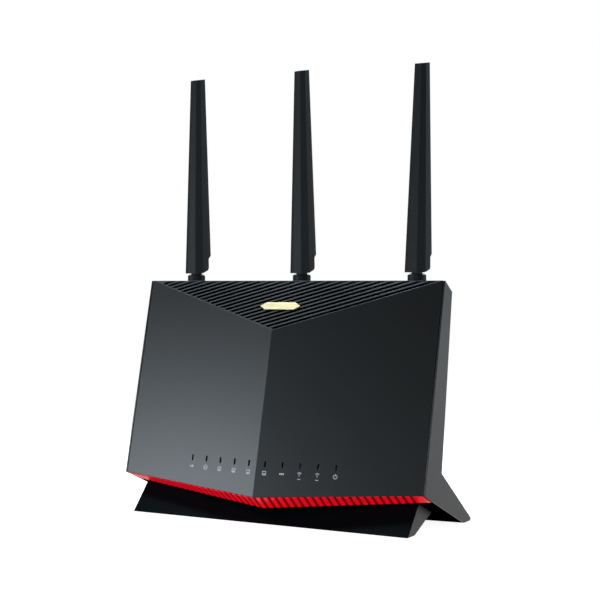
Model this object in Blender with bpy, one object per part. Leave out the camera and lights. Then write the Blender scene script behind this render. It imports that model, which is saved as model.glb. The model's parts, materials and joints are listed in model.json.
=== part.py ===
"""A stand-up wireless router with three screw-on antennas, as an assembly of separate pieces.

Metres, +Z up. +X is to the right of someone facing the front, and the front faces -Y. The origin
is on the floor, under the middle of the router's own box.
"""

import math

import bmesh
import bpy
from mathutils import Matrix, Vector

GAP = 0.0003

# Overall size
WIDTH = 0.242
HEIGHT = 0.325
REAR_TIP_Y = 0.050
HALF = WIDTH / 2

# Front face: two panels that meet at an upright ridge, under a sloping V-shaped top panel
PANEL_TOP_Y = 0.0022
PANEL_TOP_Z = 0.1705
PANEL_LEAN = 0.235
RIDGE_RISE = 0.017
APEX_Z = 0.1354
SIDE_BOTTOM_Z = 0.0283
RIDGE_BOTTOM_Z = 0.0209
COVER_THICKNESS = 0.0025
TOP_LIP = 0.0032

# Body frame: two side walls that run down into the full-width rear leg
FRAME_WALL = 0.0012
LEG_THICKNESS = 0.0022
WALL_BACK_TOP = (0.0145, 0.1628)
WALL_BACK_BOTTOM = (-0.0027, 0.0400)
REAR_TIP_Z = 0.0025
REAR_FOOT_FRONT_Y = 0.0375
FOOT_Z = 0.0004
INSIDE_HALF = HALF - FRAME_WALL - GAP

# Accent strip along the front's lower edge, and the front leg below it
STRIP_BACK_SIDE = (-0.0163, 0.0219)
STRIP_BACK_MIDDLE = (-0.0345, 0.0111)
STRIP_DEPTH = 0.0028
FRONT_LEG_HALF = 0.1107
FRONT_LEG_TOE_Y = -0.0356
FRONT_LEG_HEEL_Y = -0.0241
FRONT_LEG_TOP = (-0.0176, 0.0205)
FRONT_LEG_REAR_TOP = (0.0075, 0.0136)

# Grooves of the V-shaped panel
GROOVE_COUNT = 23
GROOVE_PITCHES = 24.5
GROOVE_WIDTH = 0.00168
GROOVE_FIRST = 0.0006
GROOVE_MARGIN = 0.0007

# Row of indicator windows
WINDOW_COUNT = 10
WINDOW_PITCH = 0.01287
WINDOW_Z = 0.0435
WINDOW_WIDTH = 0.0011
WINDOW_HEIGHT = 0.0038
LAMP_BOARD_Y = -0.0215

# Back cover, which tapers in from the side walls to a rear face that leans back a little
REAR_LEAN = math.atan2(WALL_BACK_TOP[0] - WALL_BACK_BOTTOM[0], WALL_BACK_TOP[1] - WALL_BACK_BOTTOM[1])
REAR_HALF = 0.104
REAR_BOTTOM = (0.0115, 0.0303)
REAR_FACE_HEIGHT = 0.1318
REAR_WALL = 0.0021

# Main board and port row, measured in the leaning frame of the rear face: (across, out, up)
BOARD_FRONT = -0.0191
BOARD_BACK = -0.0175
BOARD_HALF = 0.100
BOARD_LOW = 0.006
BOARD_HIGH = 0.118
PORT_HEIGHT = 0.0195
PORT_FACE = -0.0004
JACK_XS = [0.047 - 0.0188 * i for i in range(6)]
JACK_HALF = (0.0081, 0.0072)
USB_XS = [-0.066, -0.080]
USB_HALF = (0.0037, 0.0076)
INLET_X = 0.067
INLET_HALF = (0.0050, 0.0055)
POWER_X = 0.086
POWER_HALF = (0.0048, 0.0048)
RESET_X = -0.093
RESET_RADIUS = 0.0018
SCREW_PLACES = [(-0.0955, 0.0400), (-0.0580, 0.1262), (0.0955, 0.0400), (0.0580, 0.1262)]
SCREW_RADIUS = 0.0013

# Rubber pads, each in a shallow pocket of a leg
PAD_X = 0.085
PAD_HALF_LENGTH = 0.0150
PAD_YS = {"front": (-0.0335, -0.0265), "rear": (0.0400, 0.0490)}
PAD_TOP = FOOT_Z + 0.0009

# Antennas
ANTENNA_PITCH = 0.0920
ANTENNA_Y = 0.0201
ANTENNA_LEANS = [0.0, -0.9, 2.8]
COLLAR_RADIUS = 0.0066
CONNECTOR_RADIUS = 0.0032
COLLAR_LOW = 0.1646
COLLAR_HIGH = 0.1749
COLLAR_ROUND = 0.0010
COLLAR_MOUTH = 0.0043
COLLAR_LIP = 0.0020
PIN_Z = 0.1820
SHOULDER_Z = 0.1756
BLADE_BOTTOM_Z = 0.1761
BLADE_FRONT_TOP_Z = 0.3233
BLADE_TIP_SCALE = 0.55
RECESS_Y = 0.0048
TONGUE_HALF = 0.0030
TONGUE_RADIUS = 0.0029
HINGE_PIN_RADIUS = 0.0010

# Push buttons in the left side wall
SIDE_BUTTON_ZS = [0.078, 0.094]
SIDE_BUTTON_HALF = (0.0026, 0.0042)

# Coaxial leads
LEAD_RADIUS = 0.0007


def material(name, color, roughness, metallic=0.0):
    found = bpy.data.materials.get(name)
    if found:
        return found
    made = bpy.data.materials.new(name)
    made.use_nodes = True
    shader = made.node_tree.nodes["Principled BSDF"]
    shader.inputs["Base Color"].default_value = (*color, 1.0)
    shader.inputs["Roughness"].default_value = roughness
    shader.inputs["Metallic"].default_value = metallic
    return made


def satin_black():
    return material("satin_black_plastic", (0.030, 0.031, 0.033), 0.42)


def dark_black():
    return material("matte_black_plastic", (0.014, 0.014, 0.015), 0.60)


def antenna_plastic():
    return material("antenna_plastic", (0.024, 0.025, 0.026), 0.45)


def red_plastic():
    return material("red_plastic", (0.62, 0.010, 0.022), 0.35)


def rubber():
    return material("foot_rubber", (0.020, 0.020, 0.021), 0.85)


def board_green():
    return material("circuit_board", (0.010, 0.085, 0.040), 0.50)


def aluminium():
    return material("aluminium", (0.60, 0.61, 0.62), 0.40, 1.0)


def tin_plate():
    return material("tin_plate", (0.66, 0.65, 0.62), 0.32, 1.0)


def brass():
    return material("gold_plated_brass", (0.83, 0.62, 0.26), 0.30, 1.0)


def screw_steel():
    return material("black_screw_steel", (0.10, 0.10, 0.11), 0.38, 1.0)


def clear_plastic():
    return material("clear_plastic", (0.72, 0.74, 0.76), 0.20)


def label_film():
    return material("label_film", (0.36, 0.37, 0.38), 0.50)


def clear_scene():
    for obj in list(bpy.data.objects):
        bpy.data.objects.remove(obj, do_unlink=True)


def empty(name, location, parent=None, tilt=0.0):
    made = bpy.data.objects.new(name, None)
    made.empty_display_size = 0.01
    made.location = location
    made.rotation_euler = (tilt, 0.0, 0.0)
    made.parent = parent
    bpy.context.scene.collection.objects.link(made)
    return made


def is_bent(face):
    middle = face.calc_center_median()
    return max(abs(face.normal.dot(vert.co - middle)) for vert in face.verts) > 1e-6


def add_object(name, shape, finish, parent=None):
    mesh = bpy.data.meshes.new(name)
    shape.normal_update()
    bmesh.ops.triangulate(shape, faces=[face for face in shape.faces if is_bent(face)])
    bmesh.ops.recalc_face_normals(shape, faces=shape.faces)
    shape.to_mesh(mesh)
    shape.free()
    made = bpy.data.objects.new(name, mesh)
    made.parent = parent
    if finish:
        mesh.materials.append(finish)
    bpy.context.scene.collection.objects.link(made)
    return made


def smooth(obj, angle=35.0):
    obj.data.shade_smooth()
    obj.data.set_sharp_from_angle(angle=math.radians(angle))


def combine(obj, shape, operation, label):
    """Cuts from an object, or joins to it, a shape given in the object's own space."""
    helper = add_object(f"{obj.name}_{label}", shape, None, obj.parent)
    helper.hide_render = True
    helper.display_type = "WIRE"
    modifier = obj.modifiers.new(label, "BOOLEAN")
    modifier.operation = operation
    modifier.solver = "EXACT"
    modifier.object = helper


def cut(obj, shape, label="cutter"):
    combine(obj, shape, "DIFFERENCE", label)


def join(obj, shape, label="addition"):
    combine(obj, shape, "UNION", label)


def add_prism(shape, outline, axis, low, high):
    """Extrudes an outline along X, Y or Z. The outline holds the other two coordinates, in order."""
    ends = []
    for level in (low, high):
        points = [list(point) for point in outline]
        for point in points:
            point.insert("XYZ".index(axis), level)
        ends.append([shape.verts.new(point) for point in points])
    shape.faces.new(ends[0])
    shape.faces.new(reversed(ends[1]))
    for i in range(len(outline)):
        j = (i + 1) % len(outline)
        shape.faces.new((ends[0][i], ends[1][i], ends[1][j], ends[0][j]))
    return shape


def prism(outline, axis, low, high):
    return add_prism(bmesh.new(), outline, axis, low, high)


def add_box(shape, x, y, z):
    """A box from three (low, high) pairs."""
    outline = [(x[0], y[0]), (x[1], y[0]), (x[1], y[1]), (x[0], y[1])]
    return add_prism(shape, outline, "Z", z[0], z[1])


def box(x, y, z):
    return add_box(bmesh.new(), x, y, z)


def around(middle, half):
    return (middle - half, middle + half)


def add_turned(shape, profile, steps=24, axis="Z", centre=(0.0, 0.0, 0.0), radius_at=None):
    """Turns a profile of (radius, height) points about an axis. A closed ring if it misses the axis."""
    turn = {
        "X": Matrix.Rotation(math.pi / 2, 4, "Y"),
        "Y": Matrix.Rotation(-math.pi / 2, 4, "X"),
        "Z": Matrix(),
    }
    rings = []
    for radius, height in profile:
        ring = []
        for step in range(steps if radius > 0 else 1):
            angle = 2 * math.pi * step / steps
            reach = radius_at(radius, step) if radius_at else radius
            point = Vector((reach * math.cos(angle), reach * math.sin(angle), height))
            ring.append(shape.verts.new(turn[axis] @ point + Vector(centre)))
        rings.append(ring)
    on_axis = profile[0][0] == 0 and profile[-1][0] == 0
    for i in range(len(rings) - 1 if on_axis else len(rings)):
        low, high = rings[i], rings[(i + 1) % len(rings)]
        for step in range(steps):
            after = (step + 1) % steps
            corners = [low[step % len(low)], low[after % len(low)]]
            corners += [high[after % len(high)], high[step % len(high)]]
            shape.faces.new(list(dict.fromkeys(corners)))
    return shape


def turned(profile, steps=24, axis="Z", centre=(0.0, 0.0, 0.0), radius_at=None):
    return add_turned(bmesh.new(), profile, steps, axis, centre, radius_at)


def add_slab(shape, outline, normal, low, high):
    """A slab with an outline of points in space, from low to high along its normal."""
    ends = [[shape.verts.new(point + normal * level) for point in outline] for level in (low, high)]
    shape.faces.new(ends[0])
    shape.faces.new(reversed(ends[1]))
    for i in range(len(outline)):
        j = (i + 1) % len(outline)
        shape.faces.new((ends[0][i], ends[1][i], ends[1][j], ends[0][j]))


def rod(radius, low, high):
    return [(0, low), (radius, low), (radius, high), (0, high)]


def shell(outer, inner, faces):
    """A closed wall between an outer sheet of faces and the same sheet at its inner points."""
    shape = bmesh.new()
    out = [shape.verts.new(point) for point in outer]
    back = [shape.verts.new(point) for point in inner]
    sides = {}
    for face in faces:
        shape.faces.new([out[i] for i in face])
        shape.faces.new([back[i] for i in reversed(face)])
        for k, i in enumerate(face):
            j = face[(k + 1) % len(face)]
            if (j, i) in sides:
                del sides[(j, i)]
            else:
                sides[(i, j)] = True
    for i, j in sides:
        shape.faces.new((out[j], out[i], back[i], back[j]))
    return shape


def panel_y(x, z, half=HALF):
    """Depth of the leaning front panels at a place."""
    rise = RIDGE_RISE * (1 - abs(x) / half)
    return PANEL_TOP_Y - (PANEL_TOP_Z - z) * PANEL_LEAN - rise


def side_outline():
    """Outline of a side wall, with the rear leg's end, as (y, z)."""
    return [
        (PANEL_TOP_Y, PANEL_TOP_Z),
        (panel_y(HALF, SIDE_BOTTOM_Z), SIDE_BOTTOM_Z),
        (REAR_FOOT_FRONT_Y, FOOT_Z),
        (REAR_TIP_Y, FOOT_Z),
        (REAR_TIP_Y, REAR_TIP_Z),
        WALL_BACK_BOTTOM,
        WALL_BACK_TOP,
    ]


def inside_outline():
    """Region of a side outline that the frame leaves open between its walls, above and ahead of the leg."""
    run = REAR_TIP_Y - WALL_BACK_BOTTOM[0]
    fall = WALL_BACK_BOTTOM[1] - REAR_TIP_Z
    drop = LEG_THICKNESS * math.hypot(run, fall) / run
    flange_top = FOOT_Z + 0.0020
    flange_front = REAR_FOOT_FRONT_Y + GAP
    inner_foot_y = REAR_TIP_Y - (flange_top + drop - REAR_TIP_Z) * run / fall
    edge_y = WALL_BACK_BOTTOM[0] - GAP
    edge_z = WALL_BACK_BOTTOM[1] - GAP
    return [
        (edge_y, edge_z - drop + GAP),
        (inner_foot_y, flange_top),
        (flange_front, flange_top),
        (flange_front, -0.01),
        (-WIDTH, -0.01),
        (-WIDTH, WIDTH),
        (WIDTH, WIDTH),
        (WIDTH, edge_z),
        (edge_y, edge_z),
    ]


def make_body_frame():
    frame = add_object("body_frame", prism(side_outline(), "X", -HALF, HALF), satin_black())
    inside = HALF - FRAME_WALL
    cut(frame, prism(inside_outline(), "X", -inside, inside), "inside")
    holes = bmesh.new()
    for z in SIDE_BUTTON_ZS:
        y = side_button_y(z)
        half_y, half_z = (size + GAP for size in SIDE_BUTTON_HALF)
        add_box(holes, around(-HALF, 0.004), around(y, half_y), around(z, half_z))
    cut(frame, holes, "button_holes")
    cut(frame, pad_pockets("rear"), "pad_pockets")


def panel_grid_point(x, up):
    """A point of the V-shaped panel, from its place across and its height up the slope."""
    bottom = Vector((0.0, panel_y(0.0, APEX_Z), APEX_Z))
    top = Vector((0.0, PANEL_TOP_Y, PANEL_TOP_Z))
    along = (top - bottom).normalized()
    return bottom + along * up + Vector((x, 0.0, 0.0))


def groove_outlines():
    """The grooves as corner lists (x, height up the slope): parallel to the V's right-hand edge."""
    rise = math.hypot(PANEL_TOP_Y - panel_y(0.0, APEX_Z), PANEL_TOP_Z - APEX_Z)
    edge = math.hypot(INSIDE_HALF, rise)
    across, up = INSIDE_HALF / edge, rise / edge
    pitch = 2 * INSIDE_HALF * up / GROOVE_PITCHES
    left_shift = GROOVE_MARGIN / across
    outlines = []
    for i in range(GROOVE_COUNT):
        corners = []
        for offset in (GROOVE_FIRST + i * pitch, GROOVE_FIRST + i * pitch + GROOVE_WIDTH):
            level = offset / across
            left_x = (left_shift - level) * across / (2 * up)
            top_x = (rise - GROOVE_MARGIN - level) * across / up
            corners.append([(left_x, level + left_x * up / across), (top_x, rise - GROOVE_MARGIN)])
        outlines.append([corners[0][0], corners[0][1], corners[1][1], corners[1][0]])
    return outlines


def panel_normal():
    """Outward normal of the V-shaped panel."""
    up_slope = panel_grid_point(0, 1) - panel_grid_point(0, 0)
    return Vector((0.0, -up_slope.z, up_slope.y))


def groove_cutters():
    """One slab for each groove, square to the V-shaped panel."""
    shape = bmesh.new()
    for outline in groove_outlines():
        points = [panel_grid_point(x, up) for x, up in outline]
        add_slab(shape, points, panel_normal(), -0.0045, 0.0030)
    return shape


def window_xs():
    return [(i - (WINDOW_COUNT - 1) / 2) * WINDOW_PITCH for i in range(WINDOW_COUNT)]


def make_front_cover():
    half = INSIDE_HALF
    back_y, back_z = WALL_BACK_TOP
    deep = COVER_THICKNESS
    side_y = panel_y(HALF, SIDE_BOTTOM_Z)
    top_inner = (PANEL_TOP_Y - TOP_LIP * PANEL_LEAN + deep, PANEL_TOP_Z - TOP_LIP)
    outer = [
        (-half, PANEL_TOP_Y, PANEL_TOP_Z),
        (half, PANEL_TOP_Y, PANEL_TOP_Z),
        (0.0, panel_y(0.0, APEX_Z), APEX_Z),
        (-half, side_y, SIDE_BOTTOM_Z),
        (0.0, panel_y(0.0, RIDGE_BOTTOM_Z), RIDGE_BOTTOM_Z),
        (half, side_y, SIDE_BOTTOM_Z),
        (-half, back_y, back_z),
        (half, back_y, back_z),
    ]
    inner = [
        (-half, *top_inner),
        (half, *top_inner),
        (0.0, panel_y(0.0, APEX_Z) + deep, APEX_Z),
        (-half, side_y + deep, SIDE_BOTTOM_Z),
        (0.0, panel_y(0.0, RIDGE_BOTTOM_Z) + deep, RIDGE_BOTTOM_Z),
        (half, side_y + deep, SIDE_BOTTOM_Z),
        (-half, back_y, back_z - deep),
        (half, back_y, back_z - deep),
    ]
    faces = [(0, 2, 1), (0, 3, 4, 2), (2, 4, 5, 1), (0, 1, 7, 6)]
    cover = add_object("front_cover", shell(outer, inner, faces), satin_black())
    cut(cover, groove_cutters(), "grooves")
    windows = bmesh.new()
    for x in window_xs():
        y = panel_y(x, WINDOW_Z)
        half_width, half_height = WINDOW_WIDTH / 2, WINDOW_HEIGHT / 2
        add_box(windows, around(x, half_width), around(y, 0.008), around(WINDOW_Z, half_height))
    cut(cover, windows, "windows")


def make_vent_screen():
    """A thin black screen behind the grooves, further from the cover at its top."""
    inset, thickness = 0.93, 0.0012
    front_of_apex = panel_y(0.0, APEX_Z)
    outer = []
    inner = []
    for side, share, space in ((-1, 0.84, 0.0022), (1, 0.84, 0.0022), (0, 0.04, 0.0006)):
        height = APEX_Z + (PANEL_TOP_Z - APEX_Z) * share
        y = front_of_apex + (PANEL_TOP_Y - front_of_apex) * share + COVER_THICKNESS + space
        reach = side * INSIDE_HALF * share * inset
        outer.append((reach, y, height))
        inner.append((reach, y + thickness, height))
    add_object("vent_screen", shell(outer, inner, [(0, 2, 1)]), dark_black())


def make_emblem():
    """A plain six-sided badge on the grooves."""
    centre_up, half_length, half_height, point, thickness = 0.0203, 0.0164, 0.0031, 0.0046, 0.0007
    outline = []
    for side in (-1, 1):
        outline += [
            (side * (half_length - point), side * half_height),
            (side * half_length, 0.0),
            (side * (half_length - point), -side * half_height),
        ]
    shape = bmesh.new()
    points = [panel_grid_point(x, centre_up + up) for x, up in outline]
    add_slab(shape, points, panel_normal(), GAP, GAP + thickness)
    add_object("emblem", shape, brass())


def make_accent_strip():
    """The red bar along the lower edge of the front, bent at the ridge."""
    stations = (
        (-INSIDE_HALF, STRIP_BACK_SIDE, SIDE_BOTTOM_Z),
        (0.0, STRIP_BACK_MIDDLE, RIDGE_BOTTOM_Z),
        (INSIDE_HALF, STRIP_BACK_SIDE, SIDE_BOTTOM_Z),
    )
    shape = bmesh.new()
    rings = []
    for x, (back_y, back_z), panel_z in stations:
        front_y = panel_y(x, panel_z, INSIDE_HALF)
        ring = [
            (x, front_y, panel_z - GAP),
            (x, back_y, back_z),
            (x, back_y, back_z + STRIP_DEPTH),
            (x, front_y + 0.0030, panel_z - GAP),
        ]
        rings.append([shape.verts.new(point) for point in ring])
    shape.faces.new(rings[0])
    shape.faces.new(reversed(rings[-1]))
    for near, far in zip(rings, rings[1:]):
        for k in range(4):
            n = (k + 1) % 4
            shape.faces.new((near[k], near[n], far[n]))
            shape.faces.new((near[k], far[n], far[k]))
    add_object("accent_strip", shape, red_plastic())


def underside_points(lower=0.0):
    """Corners of the underside: behind the strip (left, middle, right), then along the rear foot."""
    half = INSIDE_HALF
    side_y, side_z = STRIP_BACK_SIDE
    middle_y, middle_z = STRIP_BACK_MIDDLE
    back = GAP * 1.2
    return [
        (-half, side_y + back, side_z - lower),
        (0.0, middle_y + back, middle_z - lower),
        (half, side_y + back, side_z - lower),
        (half, REAR_FOOT_FRONT_Y, FOOT_Z - lower),
        (-half, REAR_FOOT_FRONT_Y, FOOT_Z - lower),
    ]


UNDERSIDE_FACES = [(0, 4, 1), (1, 4, 3), (1, 3, 2)]


def make_base_cover():
    outer = underside_points()
    inner = [(x, y, z + 0.0022) for x, y, z in outer]
    add_object("base_cover", shell(outer, inner, UNDERSIDE_FACES), dark_black())


def make_front_leg():
    """The wide front leg, cut to sit under the base cover."""
    outline = [
        FRONT_LEG_TOP,
        (FRONT_LEG_TOE_Y, FOOT_Z),
        (FRONT_LEG_HEEL_Y, FOOT_Z),
        FRONT_LEG_REAR_TOP,
    ]
    leg = add_object("front_leg", prism(outline, "X", -FRONT_LEG_HALF, FRONT_LEG_HALF), dark_black())
    below = underside_points(GAP * 1.3)
    above = [(x, y, z + 0.05) for x, y, z in below]
    cut(leg, shell(below, above, UNDERSIDE_FACES), "underside")
    cut(leg, pad_pockets("front"), "pad_pockets")


def pad_pockets(foot):
    """The two shallow pockets in a leg's foot."""
    low, high = PAD_YS[foot]
    shape = bmesh.new()
    for side in (-1, 1):
        across = around(side * PAD_X, PAD_HALF_LENGTH + GAP)
        add_box(shape, across, (low - GAP, high + GAP), (-0.001, PAD_TOP + GAP))
    return shape


def make_foot_pads():
    for foot, depth in PAD_YS.items():
        for side, name in ((-1, "left"), (1, "right")):
            pad = box(around(side * PAD_X, PAD_HALF_LENGTH), depth, (0.0, PAD_TOP))
            add_object(f"{foot}_foot_pad_{name}", pad, rubber())


def rear_point(x, out, up):
    """World place of a point given in the leaning frame of the rear face."""
    lean = Matrix.Rotation(-REAR_LEAN, 4, "X")
    return Vector((0.0, *REAR_BOTTOM)) + lean @ Vector((x, out, up))


def make_back_cover():
    rim_y = WALL_BACK_TOP[0] + GAP
    rim_z = WALL_BACK_TOP[1] - 0.0001
    low_y = WALL_BACK_BOTTOM[0] + GAP
    low_z = WALL_BACK_BOTTOM[1] + GAP
    top = rear_point(0, 0, REAR_FACE_HEIGHT)
    bottom = rear_point(0, 0, 0)
    wall = REAR_WALL
    outer = []
    inner = []
    for side in (-1, 1):
        rim, rear = side * INSIDE_HALF, side * REAR_HALF
        slim = -side * 0.0026
        outer += [(rim, rim_y, rim_z), (rear, top.y, top.z), (rear, bottom.y, bottom.z), (rim, low_y, low_z)]
        inner += [
            (rim + slim, rim_y, rim_z - wall),
            (rear + slim, top.y - wall, top.z - wall),
            (rear + slim, bottom.y - wall, bottom.z + wall + 0.0012),
            (rim + slim, low_y, low_z + wall),
        ]
    faces = [(0, 4, 5, 1), (1, 5, 6, 2), (2, 6, 7, 3), (0, 1, 2, 3), (4, 7, 6, 5)]
    cover = add_object("back_cover", shell(outer, inner, faces), dark_black())
    cut(cover, vent_cutters(), "vents")
    cut(cover, port_cutters(), "port_openings")
    cut(cover, connector_cutters(), "antenna_holes")


def leaning(shape):
    """Moves a shape from the leaning frame of the rear face to world space."""
    lean = Matrix.Translation((0.0, *REAR_BOTTOM)) @ Matrix.Rotation(-REAR_LEAN, 4, "X")
    bmesh.ops.transform(shape, matrix=lean, verts=shape.verts)
    return shape


def vent_cutters():
    """Two rows of slanted cooling slots through the rear face."""
    shape = bmesh.new()
    columns, pitch, width, slant = 24, 0.0070, 0.0024, 0.0150
    for low, high, lean in ((0.0600, 0.0870, slant), (0.0930, 0.1200, -slant)):
        for i in range(columns):
            x = (i - (columns - 1) / 2) * pitch - lean / 2
            outline = [(x, low), (x + width, low), (x + width + lean, high), (x + lean, high)]
            add_prism(shape, outline, "Y", -0.006, 0.004)
    return leaning(shape)


def port_places():
    """Each rectangular port as (x, (half width, half height))."""
    places = [(x, JACK_HALF) for x in JACK_XS] + [(x, USB_HALF) for x in USB_XS]
    return places + [(INLET_X, INLET_HALF), (POWER_X, POWER_HALF)]


def port_cutters():
    """Openings for the sockets, the inlet, the buttons and the screws."""
    shape = bmesh.new()
    through = (-0.008, 0.004)
    for x, (half_width, half_height) in port_places():
        add_box(shape, around(x, half_width + GAP), through, around(PORT_HEIGHT, half_height + GAP))
    add_turned(shape, rod(RESET_RADIUS + GAP, *through), 12, "Y", (RESET_X, 0.0, PORT_HEIGHT))
    for x, up in SCREW_PLACES:
        add_turned(shape, rod(SCREW_RADIUS + GAP, *through), 12, "Y", (x, 0.0, up))
    return leaning(shape)


def connector_cutters():
    shape = bmesh.new()
    for x in antenna_xs():
        add_turned(shape, rod(CONNECTOR_RADIUS + GAP, 0.150, 0.170), 16, "Z", (x, ANTENNA_Y, 0.0))
    return shape


def antenna_xs():
    return [-ANTENNA_PITCH, 0.0, ANTENNA_PITCH]


def side_button_y(z):
    """Middle of the side wall at a height."""
    top_y, top_z = WALL_BACK_TOP
    bottom_y, bottom_z = WALL_BACK_BOTTOM
    back = bottom_y + (top_y - bottom_y) * (z - bottom_z) / (top_z - bottom_z)
    return (panel_y(HALF, z) + back) / 2


def make_main_board(rear):
    board = box((-BOARD_HALF, BOARD_HALF), (BOARD_FRONT, BOARD_BACK), (BOARD_LOW, BOARD_HIGH))
    add_object("main_board", board, board_green(), rear)


def make_heatsink(rear):
    """A base plate against the board's back, with upright fins."""
    half, low, high = 0.070, 0.040, 0.106
    plate = (BOARD_BACK + GAP, -0.0140)
    fin_reach, fin_width, fin_count = -0.0055, 0.0012, 15
    sink = add_object("heatsink", box((-half, half), plate, (low, high)), aluminium(), rear)
    pitch = (2 * half - fin_width) / (fin_count - 1)
    fins = bmesh.new()
    for i in range(fin_count):
        x = -half + i * pitch
        add_box(fins, (x, x + fin_width), (plate[1] - 0.0004, fin_reach), (low + 0.001, high - 0.001))
    join(sink, fins, "fins")


def make_shields(rear):
    """Tin lids over the radio circuits and the processor, on the board's front."""
    for name, x, up in (
        ("radio_shield", (-0.080, -0.020), (0.060, 0.100)),
        ("processor_shield", (0.010, 0.060), (0.050, 0.094)),
    ):
        lid = box(x, (BOARD_FRONT - GAP - 0.0025, BOARD_FRONT - GAP), up)
        add_object(name, lid, tin_plate(), rear)


def port_body(x, half, face):
    """The block of a socket, from the board's back out to its face."""
    return box(around(x, half[0]), (BOARD_BACK + GAP, face), around(PORT_HEIGHT, half[1]))


def make_jacks(rear):
    """Six network sockets, with the latch notch at the top of each mouth."""
    depth = (PORT_FACE - 0.0130, 0.002)
    mouth_half, mouth_low, mouth_high = 0.0060, PORT_HEIGHT - 0.0048, PORT_HEIGHT + 0.0032
    notch_half, notch_high = 0.0031, PORT_HEIGHT + 0.0056
    for i, x in enumerate(JACK_XS, 1):
        jack = add_object(f"network_socket_{i}", port_body(x, JACK_HALF, PORT_FACE), dark_black(), rear)
        cut(jack, box(around(x, mouth_half), depth, (mouth_low, mouth_high)), "mouth")
        cut(jack, box(around(x, notch_half), depth, (mouth_high - 0.0002, notch_high)), "latch_notch")


def make_usb_sockets(rear):
    face = PORT_FACE + 0.0001
    floor = PORT_FACE - 0.0125
    for i, x in enumerate(USB_XS, 1):
        socket = add_object(f"usb_socket_{i}", port_body(x, USB_HALF, face), tin_plate(), rear)
        cut(socket, box(around(x, 0.0026), (floor, 0.002), around(PORT_HEIGHT, 0.0063)), "mouth")
        reach = (floor - 0.0005, PORT_FACE - 0.0012)
        join(socket, box((x - 0.0016, x + 0.0004), reach, around(PORT_HEIGHT, 0.0055)), "tongue")


def make_power_inlet(rear):
    inlet = add_object("power_inlet", port_body(INLET_X, INLET_HALF, PORT_FACE), dark_black(), rear)
    centre = (INLET_X, 0.0, PORT_HEIGHT)
    cut(inlet, turned(rod(0.0032, -0.0105, 0.002), 16, "Y", centre), "bore")
    join(inlet, turned(rod(0.0010, -0.0110, -0.0015), 10, "Y", centre), "centre_pin")


def make_power_switch(rear):
    """The latching switch on the board, and the cap that pushes it."""
    body = box(around(POWER_X, 0.0044), (BOARD_BACK + GAP, -0.0104), around(PORT_HEIGHT, 0.0044))
    add_object("power_switch", body, dark_black(), rear)
    half_width, half_height = POWER_HALF
    cap = box(around(POWER_X, half_width), (-0.0078, 0.0012), around(PORT_HEIGHT, half_height))
    add_object("power_button", cap, satin_black(), rear)


def make_reset_button(rear):
    button = turned(rod(RESET_RADIUS, -0.0090, -0.0002), 12, "Y", (RESET_X, 0.0, PORT_HEIGHT))
    smooth(add_object("reset_button", button, dark_black(), rear))


def make_side_buttons():
    """The pairing button and the light button, through the left side wall."""
    for name, z in zip(("light_button", "pairing_button"), SIDE_BUTTON_ZS):
        half_y, half_z = SIDE_BUTTON_HALF
        y = side_button_y(z)
        cap = box((-HALF, -HALF + 0.0050), around(y, half_y), around(z, half_z))
        button = add_object(name, cap, satin_black())
        flange = box((-HALF + 0.0030, -HALF + 0.0042), around(y, half_y + 0.001), around(z, half_z + 0.001))
        join(button, flange, "flange")


def make_light_guide():
    """A clear bar that follows the two front panels, with a finger back to each indicator lamp."""
    reach, thickness, half_height, finger_half = 0.0640, 0.0022, 0.0026, 0.0010
    near = COVER_THICKNESS + GAP * 2
    outer = []
    inner = []
    for x in (-reach, 0.0, reach):
        for z in around(WINDOW_Z, half_height):
            y = panel_y(x, z)
            outer.append((x, y + near, z))
            inner.append((x, y + near + thickness, z))
    guide = add_object("light_guide", shell(outer, inner, [(0, 2, 3, 1), (2, 4, 5, 3)]), clear_plastic())
    fingers = bmesh.new()
    for x in window_xs():
        start = panel_y(x, WINDOW_Z) + near + thickness / 2
        depth = (start, LAMP_BOARD_Y - GAP)
        add_box(fingers, around(x, finger_half), depth, around(WINDOW_Z, finger_half))
    join(guide, fingers, "fingers")


def make_lamp_board():
    board = box((-0.068, 0.068), (LAMP_BOARD_Y, LAMP_BOARD_Y + 0.0012), around(WINDOW_Z, 0.0040))
    add_object("lamp_board", board, board_green())


def make_label(rear):
    plate = box(around(0.0, 0.0360), (GAP, GAP + 0.0003), around(0.0440, 0.0080))
    add_object("rating_label", plate, label_film(), rear)


def make_screws(rear):
    """Pan-head screws that hold the back cover, each with a cross recess."""
    head, head_low, head_high = 0.0027, GAP, 0.0016
    slot_half, slot_thin, slot_floor = 0.0014, 0.00035, 0.0008
    for i, (x, up) in enumerate(SCREW_PLACES, 1):
        profile = [(0, -0.0090), (SCREW_RADIUS, -0.0090), (SCREW_RADIUS, head_low), (head, head_low)]
        profile += [(head, 0.0009), (0.0020, head_high), (0, head_high)]
        screw = add_object(f"cover_screw_{i}", turned(profile, 16, "Y", (x, 0.0, up)), screw_steel(), rear)
        smooth(screw)
        slots = (("level_slot", slot_half, slot_thin), ("upright_slot", slot_thin, slot_half))
        for label, wide, tall in slots:
            cut(screw, box(around(x, wide), (slot_floor, 0.003), around(up, tall)), label)


def make_internal_antenna():
    """The fourth antenna: a slim board on end inside the left side wall."""
    z = (0.104, 0.136)
    y = side_button_y(sum(z) / 2) + 0.0015
    board = box((-0.1140, -0.1132), around(y, 0.0038), z)
    add_object("internal_antenna", board, board_green())


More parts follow.
